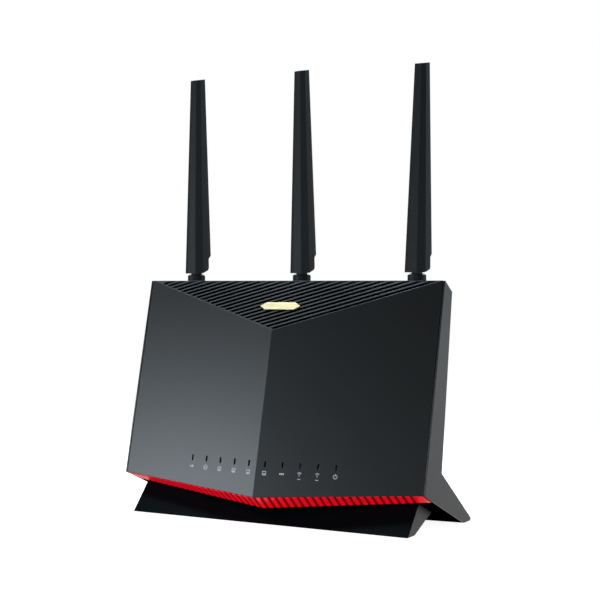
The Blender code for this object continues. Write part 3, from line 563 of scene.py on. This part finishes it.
def panel_point(x, z):
    """A point of the two leaning front panels."""
    rise = RIDGE_RISE * (1 - abs(x) / COVER_HALF)
    return (x, PANEL_TOP_Y - (PANEL_TOP_Z - z) * PANEL_LEAN - rise, z)


APEX = Vector(panel_point(0.0, APEX_Z))
V_TOP = Vector((0.0, PANEL_TOP_Y, PANEL_TOP_Z))
V_RISE = (V_TOP - APEX).length


def v_point(x, up):
    """A point of the grooved V, from its place across and its height up the slope."""
    return tuple(APEX.lerp(V_TOP, up / V_RISE) + Vector((x, 0.0, 0.0)))


def groove_ends():
    """For each groove edge, from the V's right-hand side: its two ends on the margins, as (x, up)."""
    edge = math.hypot(COVER_HALF, V_RISE)
    across, up = COVER_HALF / edge, V_RISE / edge
    pitch = 2 * COVER_HALF * up / GROOVE_PITCHES
    top = V_RISE - GROOVE_MARGIN
    ends = []
    for i in range(GROOVE_COUNT):
        for offset in (GROOVE_FIRST + i * pitch, GROOVE_FIRST + i * pitch + GROOVE_WIDTH):
            level = offset / across
            left_x = (GROOVE_MARGIN / across - level) * across / (2 * up)
            ends.append(((left_x, level + left_x * up / across), ((top - level) * across / up, top)))
    return ends


def grille_faces():
    """Faces of the grooved V: a border on three sides, and the ribs between the grooves."""
    corner_x, slope = COVER_HALF, V_RISE / COVER_HALF
    ends = groove_ends()
    low = [v_point(*left) for left, _ in ends]
    high = [v_point(*top) for _, top in ends]
    low_edge = [v_point(left[0] - GROOVE_MARGIN, (GROOVE_MARGIN - left[0]) * slope) for left, _ in ends]
    top_edge = [v_point(top[0], V_RISE) for _, top in ends]
    right, left = v_point(corner_x, V_RISE), v_point(-corner_x, V_RISE)
    apex = v_point(0.0, 0.0)
    faces = [(low_edge[0], apex, low[0]), (apex, right, high[0], low[0]), (right, top_edge[0], high[0])]
    for k in range(len(ends) - 1):
        faces.append((low_edge[k], low[k], low[k + 1], low_edge[k + 1]))
        faces.append((high[k], top_edge[k], top_edge[k + 1], high[k + 1]))
        if k % 2:
            faces.append((low[k], high[k], high[k + 1], low[k + 1]))
    faces.append((low_edge[-1], low[-1], high[-1], top_edge[-1], left))
    return faces, [apex, *low_edge, left], [left, *reversed(top_edge), right]


def panel_faces(side, v_edge):
    """Faces of one front panel, with its row of windows. v_edge runs from the apex outwards."""
    low, high = around(WINDOW_Z, WINDOW_HEIGHT / 2)
    half = WINDOW_WIDTH / 2
    columns = [0.0]
    for x in sorted(abs(x) for x in window_xs() if x * side > 0):
        columns += [x - half, x + half]
    columns.append(COVER_HALF)
    lower = [panel_point(side * x, low) for x in columns]
    upper = [panel_point(side * x, high) for x in columns]
    faces = [(panel_point(0.0, RIDGE_BOTTOM_Z), *lower, panel_point(side * COVER_HALF, SIDE_BOTTOM_Z))]
    for k in range(0, len(columns) - 1, 2):
        faces.append((lower[k], upper[k], upper[k + 1], lower[k + 1]))
    faces.append((*upper, *reversed(v_edge)))
    return faces if side > 0 else [tuple(reversed(face)) for face in faces]


def make_front_cover():
    faces, left_edge, top_edge = grille_faces()
    faces = [tuple(reversed(face)) for face in faces]
    faces += panel_faces(-1, left_edge)
    faces += panel_faces(1, [left_edge[0], top_edge[-1]])
    back = [(x, COVER_BACK_Y, COVER_BACK_Z) for x, _, _ in (top_edge[0], top_edge[-1])]
    faces.append((*top_edge, back[1], back[0]))

    lip_y = PANEL_TOP_Y - TOP_LIP * PANEL_LEAN + COVER_THICKNESS

    def inner_point(point):
        if point.z > PANEL_TOP_Z - TINY:
            return Vector((point.x, lip_y, PANEL_TOP_Z - TOP_LIP))
        if point.y > COVER_BACK_Y - TINY:
            return point - Vector((0.0, 0.0, COVER_THICKNESS))
        return point + Vector((0.0, COVER_THICKNESS, 0.0))

    shape = shell_of(faces, inner_point)
    cover = finish_object("front_cover_fine", shape, "satin_casing", "root")
    soften(cover, COVER_ROUND, 2, COVER_ANGLE)
    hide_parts("front_cover")


def make_vent_screen():
    """The black screen behind the grooves, which reaches just past the V's edges."""
    reach = COVER_HALF * SCREEN_CORNER_SHARE + SCREEN_OVERHANG
    corners = (
        (-reach, SCREEN_CORNER_SHARE, SCREEN_CORNER_SPACE),
        (reach, SCREEN_CORNER_SHARE, SCREEN_CORNER_SPACE),
        (0.0, SCREEN_APEX_SHARE, SCREEN_APEX_SPACE),
    )
    shape = bmesh.new()
    front, back = [], []
    for x, share, space in corners:
        _, y, z = v_point(0.0, V_RISE * share)
        front.append(shape.verts.new((x, y + COVER_THICKNESS + space, z)))
        back.append(shape.verts.new((x, y + COVER_THICKNESS + space + SCREEN_THICKNESS, z)))
    shape.faces.new(front)
    shape.faces.new(reversed(back))
    for k in range(3):
        n = (k + 1) % 3
        shape.faces.new((front[n], front[k], back[k], back[n]))
    screen = finish_object("vent_screen_fine", shape, "matte_casing", "root")
    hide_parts("vent_screen")


FRONT = BVHTree.FromObject(NODES["front_cover"], bpy.context.evaluated_depsgraph_get())


def front_spot(x, z):
    """Place and outward normal of the front face at a place across and a height."""
    point, normal, _, _ = FRONT.ray_cast(Vector((x, -1.0, z)), Vector((0.0, 1.0, 0.0)))
    return point, normal


def front_matrix(x, z):
    """Local axes on a front panel: X across, Y up the panel, Z outwards."""
    point, normal = front_spot(x, z)
    up = (Vector((0.0, 0.0, 1.0)) - normal * normal.z).normalized()
    across = up.cross(normal)
    turn = Matrix((across, up, normal)).transposed().to_4x4()
    return Matrix.Translation(point) @ turn


def add_flat(shape, outline, place):
    """A thin printed patch, from an outline in the panel's own axes, in units of the icon's half size."""
    low, high = [], []
    for x, y in outline:
        low.append(shape.verts.new(place @ Vector((x * ICON_HALF, y * ICON_HALF, PRINT_LIFT))))
        raised = Vector((x * ICON_HALF, y * ICON_HALF, PRINT_LIFT + PRINT_THICKNESS))
        high.append(shape.verts.new(place @ raised))
    shape.faces.new(list(reversed(low)))
    shape.faces.new(high)
    for i in range(len(outline)):
        j = (i + 1) % len(outline)
        shape.faces.new((low[i], low[j], high[j], high[i]))


def arc_band(radius, width, start, end, steps=14, centre=(0.0, 0.0)):
    """Outlines of short pieces that make up a curved band, angles in degrees."""
    pieces = []
    for k in range(steps):
        a, b = (math.radians(start + (end - start) * (k + n) / steps) for n in (0, 1))
        corners = []
        for angle, reach in ((a, radius), (b, radius), (b, radius - width), (a, radius - width)):
            corners.append((centre[0] + reach * math.cos(angle), centre[1] + reach * math.sin(angle)))
        pieces.append(corners)
    return pieces


def bar(x0, y0, x1, y1):
    return [(x0, y0), (x1, y0), (x1, y1), (x0, y1)]


def square_ring(half, width):
    return [
        bar(-half, half - width, half, half),
        bar(-half, -half, half, -half + width),
        bar(-half, -half + width, -half + width, half - width),
        bar(half - width, -half + width, half, half - width),
    ]


def icon_outlines(kind):
    """Plain pictograms: link, globe, sockets, waves and power."""
    if kind == "globe":
        return arc_band(0.95, 0.24, 0, 360, 24) + [bar(-0.75, -0.1, 0.75, 0.1)]
    if kind == "socket":
        return square_ring(0.80, 0.26) + [bar(-0.30, -0.54, 0.30, -0.10)]
    if kind == "link":
        return [bar(-0.95, -0.14, 0.95, 0.14)] + arc_band(0.5, 0.22, 0, 360, 16, (0.45, 0.0))
    if kind == "waves":
        waves = arc_band(1.0, 0.24, 35, 145) + arc_band(0.55, 0.24, 35, 145, 8)
        return waves + [bar(-0.16, -0.5, 0.16, -0.15), bar(-0.55, -1.75, 0.55, -1.45)]
    if kind == "blocks":
        return [bar(-0.9, -0.35, -0.35, 0.35), bar(-0.2, -0.35, 0.3, 0.35), bar(0.45, -0.35, 0.9, 0.35)]
    return arc_band(0.85, 0.26, 120, 420, 20) + [bar(-0.13, 0.15, 0.13, 1.0)]


def make_icons():
    kinds = ("link", "globe", "socket", "socket", "socket", "socket", "blocks", "waves", "waves", "power")
    shape = bmesh.new()
    for x, kind in zip(window_xs(), kinds):
        place = front_matrix(x, WINDOW_Z - ICON_DROP)
        for outline in icon_outlines(kind):
            add_flat(shape, outline, place)
    finish_object("indicator_icons", shape, "icon_print", "root")


def strip_corner(x, back):
    """A corner of the red bar's front face, at its upper front edge or its lower back edge."""
    share = abs(x) / COVER_HALF
    if back:
        y, z = (low + (high - low) * share for low, high in zip(STRIP_BACK_MIDDLE, STRIP_BACK_SIDE))
        return Vector((x, y, z))
    z = RIDGE_BOTTOM_Z + (SIDE_BOTTOM_Z - RIDGE_BOTTOM_Z) * share
    return Vector(panel_point(x, z)) - Vector((0.0, 0.0, STRIP_TOP_GAP))


def strip_point(x, down, depth):
    """A point of the red bar's front face, sunk by a depth. down runs from upper edge to lower edge."""
    upper, lower = strip_corner(x, False), strip_corner(x, True)
    inwards = Vector((0.0, upper.z - lower.z, lower.y - upper.y)).normalized()
    return upper.lerp(lower, down) + inwards * depth


def clipped(outline, side):
    """The part of an (x, down) outline on one side of the ridge."""
    kept = []
    for k, (x, down) in enumerate(outline):
        before_x, before_down = outline[k - 1]
        if (x > 0) != (before_x > 0) and x and before_x:
            share = before_x / (before_x - x)
            kept.append((0.0, before_down + (down - before_down) * share))
        if x * side >= 0:
            kept.append((x, down))
    return kept


def tile_outlines():
    """Slanted tiles along the bar, as (x, down) outlines. The last is longer and ends with the bar."""
    width, end = TILE_PITCH * TILE_SHARE, COVER_HALF - TILE_END_GAP
    high, low = TILE_EDGE, 1 - TILE_EDGE
    outlines = [[(LAST_TILE_START, high), (end, high), (end, low), (LAST_TILE_START + TILE_SLANT, low)]]
    start = LAST_TILE_START - TILE_PITCH
    while start > -end:
        upper = [(start, high), (start + width, high)]
        lower = [(start + width + TILE_SLANT, low), (start + TILE_SLANT, low)]
        outline = [(max(x, -end), down) for x, down in upper + lower]
        outlines.append(list(dict.fromkeys(outline)))
        start -= TILE_PITCH
    return outlines


def make_accent_strip():
    """The red bar: a bed in a darker red, painted shade in the grooves, and slanted bright tiles proud of
    it.
    """
    bed = bmesh.new()
    rings = []
    for step in range(2 * BED_STEPS + 1):
        x = COVER_HALF * (step / BED_STEPS - 1)
        upper, lower = strip_corner(x, False), strip_corner(x, True)
        points = [
            strip_point(x, 0.0, TILE_DEPTH),
            strip_point(x, 1.0, TILE_DEPTH),
            lower + Vector((0.0, 0.0, STRIP_DEPTH)),
            upper + Vector((0.0, STRIP_TOP_DEPTH, 0.0)),
        ]
        rings.append([bed.verts.new(point) for point in points])
    bed.faces.new(rings[0])
    bed.faces.new(reversed(rings[-1]))
    for near, far in zip(rings, rings[1:]):
        for k in range(4):
            n = (k + 1) % 4
            bed.faces.new((near[k], near[n], far[n], far[k]))
    made = finish_object("accent_strip_bed", bed, "painted_shade_red_groove", "root")
    # The faces inside the casing are black, so that no red of the bar's painted glow shows through its
    # seams.
    made.data.materials.append(MATERIALS["matte_casing"])
    for face in made.data.polygons:
        face.material_index = int(face.normal.z > -0.3 or abs(face.normal.x) > 0.5)
    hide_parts("accent_strip")
    tiles = bmesh.new()
    for outline in tile_outlines():
        for side in (-1, 1):
            part = clipped(outline, side)
            if len(part) < 3:
                continue
            top = [tiles.verts.new(strip_point(x, down, 0.0)) for x, down in part]
            foot = [tiles.verts.new(strip_point(x, down, TILE_DEPTH + TILE_FOOT)) for x, down in part]
            tiles.faces.new(top)
            tiles.faces.new(reversed(foot))
            for k in range(len(part)):
                n = (k + 1) % len(part)
                tiles.faces.new((top[k], foot[k], foot[n], top[n]))
    proud = finish_object("accent_strip_tiles", tiles, "red_accent", "root")
    soften(proud, TILE_ROUND)


def make_back_cover():
    """The back shell, with its soft outer edges, then its vents and openings."""
    lean = Matrix.Translation((0.0, *REAR_BOTTOM)) @ Matrix.Rotation(-REAR_LEAN, 4, "X")
    top = lean @ Vector((0.0, 0.0, REAR_FACE_HEIGHT))
    bottom = Vector((0.0, *REAR_BOTTOM))
    rim_y, rim_z = COVER_BACK_Y + GAP, COVER_BACK_Z - REAR_TOP_GAP
    low_y, low_z = COVER_BOTTOM_Y + GAP, COVER_BOTTOM_Z + GAP
    corners = {}
    for side in (-1, 1):
        rim, rear = side * COVER_HALF, side * REAR_HALF
        corners[side] = [
            (rim, rim_y, rim_z), (rear, top.y, top.z), (rear, bottom.y, bottom.z), (rim, low_y, low_z)
        ]
    faces = []
    for k in range(3):
        faces.append((corners[-1][k], corners[1][k], corners[1][k + 1], corners[-1][k + 1]))
    faces += [tuple(corners[-1]), tuple(reversed(corners[1]))]

    def inner_point(point):
        x = point.x - math.copysign(REAR_SIDE_WALL, point.x)
        if point.y < low_y + TINY:
            return Vector((x, point.y, point.z + REAR_WALL))
        if abs(point.z - rim_z) < TINY and abs(point.y - rim_y) < TINY:
            return Vector((x, point.y, point.z - REAR_WALL))
        up = REAR_WALL + REAR_CORNER_STEP if point.z < top.z / 2 else -REAR_WALL
        return Vector((x, point.y - REAR_WALL, point.z + up))

    shape = shell_of(faces, inner_point)
    cover = finish_object("back_cover_fine", shape, "back_casing", "root")
    soften(cover, REAR_ROUND, 3, REAR_ANGLE)
    bpy.context.view_layer.update()
    apply_modifiers(cover)
    for cutters in (vent_cutters(), port_cutters(), connector_cutters()):
        cut_out(cover, cutters)
    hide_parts("back_cover")


def vent_cutters():
    """Two rows of slanted cooling slots through the rear face."""
    shape = bmesh.new()
    for low, high, lean in VENT_ROWS:
        for i in range(VENT_COUNT):
            x = (i - (VENT_COUNT - 1) / 2) * VENT_PITCH - lean / 2
            outline = [(x, low), (x + VENT_WIDTH, low), (x + VENT_WIDTH + lean, high), (x + lean, high)]
            add_prism(shape, outline, *WALL_CUT)
    return leaning(shape)


def port_places():
    """Each rectangular port as (x, (half width, half height))."""
    places = [(x, JACK_HALF) for x in JACK_XS] + [(x, USB_HALF) for x in USB_XS]
    return places + [(INLET_X, INLET_HALF), (POWER_X, POWER_HALF)]


def port_cutters():
    """Openings for the sockets, the inlet, the buttons and the screws."""
    shape = bmesh.new()
    for x, (half_width, half_height) in port_places():
        across, upright = around(x, half_width + GAP), around(PORT_HEIGHT, half_height + GAP)
        add_prism(shape, rounded(across, upright, PORT_CORNER), *OPENING_CUT)
    add_prism(shape, circle(RESET_RADIUS + GAP, 32, (RESET_X, PORT_HEIGHT)), *OPENING_CUT)
    for place in SCREW_PLACES:
        add_prism(shape, circle(SCREW_RADIUS + GAP, 24, place), *OPENING_CUT)
    return leaning(shape)


def connector_cutters():
    """Holes in the back cover's top for the antenna connectors."""
    shape = bmesh.new()
    for x in ANTENNA_XS:
        outline = circle(CONNECTOR_RADIUS + GAP, 32)
        add_prism(shape, outline, -CONNECTOR_CUT[1], -CONNECTOR_CUT[0])
        new = list(shape.verts)[-2 * len(outline):]
        turn = Matrix.Translation((x, ANTENNA_Y, 0.0)) @ Matrix.Rotation(math.radians(-90), 4, "X")
        bmesh.ops.transform(shape, matrix=turn, verts=new)
    return shape


# ------------------------------------------------------- antennas and hardware

def make_antennas():
    for i in (1, 2, 3):
        refine(f"antenna_blade_{i}", "antenna_plastic", BLADE_ROUND, 2, BLADE_ANGLE)
        refine_round(f"antenna_base_{i}", "antenna_plastic", SWIVEL_ROUND)
        refine_round(f"antenna_collar_{i}", "antenna_plastic", COLLAR_ROUND)
        refine_round(f"antenna_connector_{i}", "gold_plating", CONNECTOR_ROUND)


def make_buttons_and_screws():
    refine("power_button", "button_plastic", BUTTON_ROUND, 3)
    refine_round("reset_button", "button_plastic", RESET_ROUND)
    refine("light_button", "button_plastic", BUTTON_ROUND, 3)
    refine("pairing_button", "button_plastic", BUTTON_ROUND, 3)
    refine("rating_label", "label_film", LABEL_ROUND)
    for i in range(1, 5):
        refine_round(f"cover_screw_{i}", "screw_steel", SCREW_ROUND)


def make_contacts():
    """Sprung gold contacts that slope back into the network sockets."""
    shape = bmesh.new()
    low, high = PORT_HEIGHT - CONTACT_LOW, PORT_HEIGHT - CONTACT_HIGH
    front, back = PORT_FACE - CONTACT_FRONT, PORT_FACE - SOCKET_FLOOR
    thick = 2 * CONTACT_HALF
    side = [(front, low), (front, low + thick), (back, high), (back, high - thick)]
    for x in JACK_XS:
        for k in range(CONTACT_COUNT):
            middle = x + (k - (CONTACT_COUNT - 1) / 2) * CONTACT_PITCH
            ends = [
                [shape.verts.new((px, y, z)) for y, z in side] for px in around(middle, CONTACT_HALF)
            ]
            shape.faces.new(ends[0])
            shape.faces.new(reversed(ends[1]))
            for a in range(4):
                b = (a + 1) % 4
                shape.faces.new((ends[0][a], ends[1][a], ends[1][b], ends[0][b]))
    finish_object("socket_contacts", leaning(shape), "gold_plating", "root")


def make_usb_tongues():
    """The plastic tongues in the USB sockets, which carry their contacts."""
    shape = bmesh.new()
    depth = (PORT_FACE - SOCKET_FLOOR, PORT_FACE - TONGUE_SET_BACK)
    for x in USB_XS:
        span = (x + TONGUE_SPAN[0], x + TONGUE_SPAN[1])
        add_box(shape, span, depth, around(PORT_HEIGHT, TONGUE_HALF_HEIGHT))
    tongues = finish_object("usb_tongues", leaning(shape), "socket_plastic", "root")
    soften(tongues, TONGUE_ROUND)


def make_sockets():
    for i in range(1, 7):
        refine(f"network_socket_{i}", "socket_plastic", SOCKET_ROUND)
    refine("power_inlet", "socket_plastic", SOCKET_ROUND)
    make_contacts()
    make_usb_tongues()


make_casing()
make_front_cover()
make_vent_screen()
make_accent_strip()
make_back_cover()
make_icons()
make_antennas()
make_buttons_and_screws()
make_sockets()


# --------------------------------------------------------- floor, light, camera

def light_path_mix(nodes, links, kind, other, seen):
    """Mixes two shaders: one that only this kind of ray sees, and one for all other rays."""
    path = nodes.new("ShaderNodeLightPath")
    mix = nodes.new("ShaderNodeMixShader")
    links.new(path.outputs[kind], mix.inputs["Fac"])
    links.new(other.outputs[0], mix.inputs[1])
    links.new(seen.outputs[0], mix.inputs[2])
    return mix


def make_floor():
    """A pale floor that fades to pure white, and that throws only a little light back up."""
    bpy.ops.mesh.primitive_plane_add(size=FLOOR_SIZE, location=(0.0, 0.0, 0.0))
    floor = bpy.context.object
    floor.name = "floor"
    made, nodes, links, shader = new_material("floor_paper")
    shader.inputs["Base Color"].default_value = (0.9, 0.9, 0.9, 1.0)
    shader.inputs["Roughness"].default_value = 0.9
    shader.inputs["Specular IOR Level"].default_value = 0.0
    shader.inputs["Emission Color"].default_value = (1.0, 1.0, 1.0, 1.0)
    shader.inputs["Emission Strength"].default_value = FLOOR_LIGHT
    dim = nodes.new("ShaderNodeBsdfDiffuse")
    dim.inputs["Color"].default_value = (0.15, 0.15, 0.15, 1.0)
    glow = nodes.new("ShaderNodeEmission")
    glow.inputs["Strength"].default_value = FLOOR_GLOW
    bounced = light_path_mix(nodes, links, "Is Glossy Ray", dim, glow)
    white = nodes.new("ShaderNodeEmission")
    coordinates = nodes.new("ShaderNodeTexCoord")
    distance = nodes.new("ShaderNodeVectorMath")
    distance.operation = "LENGTH"
    links.new(coordinates.outputs["Object"], distance.inputs[0])
    fade = nodes.new("ShaderNodeMapRange")
    fade.inputs["From Min"].default_value = FLOOR_FADE[0]
    fade.inputs["From Max"].default_value = FLOOR_FADE[1]
    links.new(distance.outputs["Value"], fade.inputs["Value"])
    paper = nodes.new("ShaderNodeMixShader")
    links.new(fade.outputs["Result"], paper.inputs["Fac"])
    links.new(shader.outputs[0], paper.inputs[1])
    links.new(white.outputs[0], paper.inputs[2])
    mix = light_path_mix(nodes, links, "Is Camera Ray", bounced, paper)
    links.new(mix.outputs[0], nodes["Material Output"].inputs["Surface"])
    floor.data.materials.append(made)


def make_world():
    """A white studio for the eye, and a dim even room for the reflections."""
    world = bpy.data.worlds.new("studio")
    bpy.context.scene.world = world
    world.use_nodes = True
    nodes, links = world.node_tree.nodes, world.node_tree.links
    nodes.clear()
    output = nodes.new("ShaderNodeOutputWorld")
    white = nodes.new("ShaderNodeBackground")
    white.inputs["Color"].default_value = (1.0, 1.0, 1.0, 1.0)
    room = nodes.new("ShaderNodeBackground")
    room.inputs["Color"].default_value = (ROOM_LEVEL, ROOM_LEVEL, ROOM_LEVEL, 1.0)
    mix = light_path_mix(nodes, links, "Is Camera Ray", room, white)
    links.new(mix.outputs[0], output.inputs["Surface"])


def make_lights():
    target = Vector(LIGHT_TARGET)
    for name, (azimuth, elevation, distance, width, height, power) in STUDIO.items():
        turn, rise = math.radians(azimuth), math.radians(elevation)
        level = math.cos(rise)
        way = Vector((math.sin(turn) * level, -math.cos(turn) * level, math.sin(rise)))
        data = bpy.data.lights.new(name, "AREA")
        data.shape = "RECTANGLE"
        data.size, data.size_y = width, height
        data.energy = power
        data.color = COOL_LIGHT
        light = bpy.data.objects.new(name, data)
        light.location = target + way * distance
        light.rotation_euler = (-way).to_track_quat("-Z", "Y").to_euler()
        light.visible_camera = False
        bpy.context.scene.collection.objects.link(light)


def make_camera():
    data = bpy.data.cameras.new("camera")
    data.lens = CAMERA_LENS
    data.sensor_width = SENSOR_WIDTH
    data.clip_start = 0.01
    data.clip_end = 50.0
    camera = bpy.data.objects.new("camera", data)
    turn = Matrix.Rotation(math.radians(CAMERA_AZIMUTH), 4, "Z")
    pitch = Matrix.Rotation(math.radians(90 - CAMERA_DOWN), 4, "X")
    roll = Matrix.Rotation(math.radians(-CAMERA_ROLL), 4, "Z")
    camera.matrix_world = Matrix.Translation(CAMERA_PLACE) @ turn @ pitch @ roll
    bpy.context.scene.collection.objects.link(camera)
    bpy.context.scene.camera = camera


make_floor()
make_world()
make_lights()
make_camera()
bpy.context.scene.view_settings.view_transform = "Standard"

for node, obj in NODES.items():
    for material_slot in obj.material_slots:
        material_slot.material = MATERIALS[SLOT_OF[node]]
